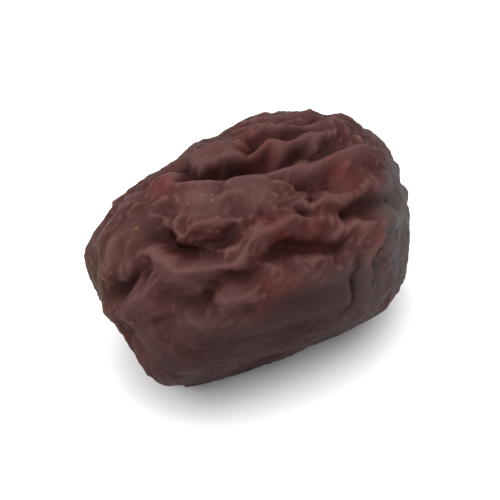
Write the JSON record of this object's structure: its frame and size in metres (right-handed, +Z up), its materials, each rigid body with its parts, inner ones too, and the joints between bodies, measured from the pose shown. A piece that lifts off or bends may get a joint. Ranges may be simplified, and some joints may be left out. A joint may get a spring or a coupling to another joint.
{
  "type": "dried jujube",
  "caption": "Oval dried jujube with a deeply wrinkled dark skin, a round stem pit at one end and a small dimple at the other, lying on its side.",
  "frame": {"origin": "on the surface that the fruit lies on, under the middle of its outline", "axes": "+Z up, +X along the fruit towards its stem end, +Y across it"},
  "size_m": [0.024, 0.0168, 0.0149],
  "materials": {
    "skin": "wrinkled, satin, red-brown on the crests and nearly black in the furrows, with a thin greyish bloom"
  },
  "bodies": {
    "root": {"dried_jujube": "skin"}
  },
  "joints": []
}
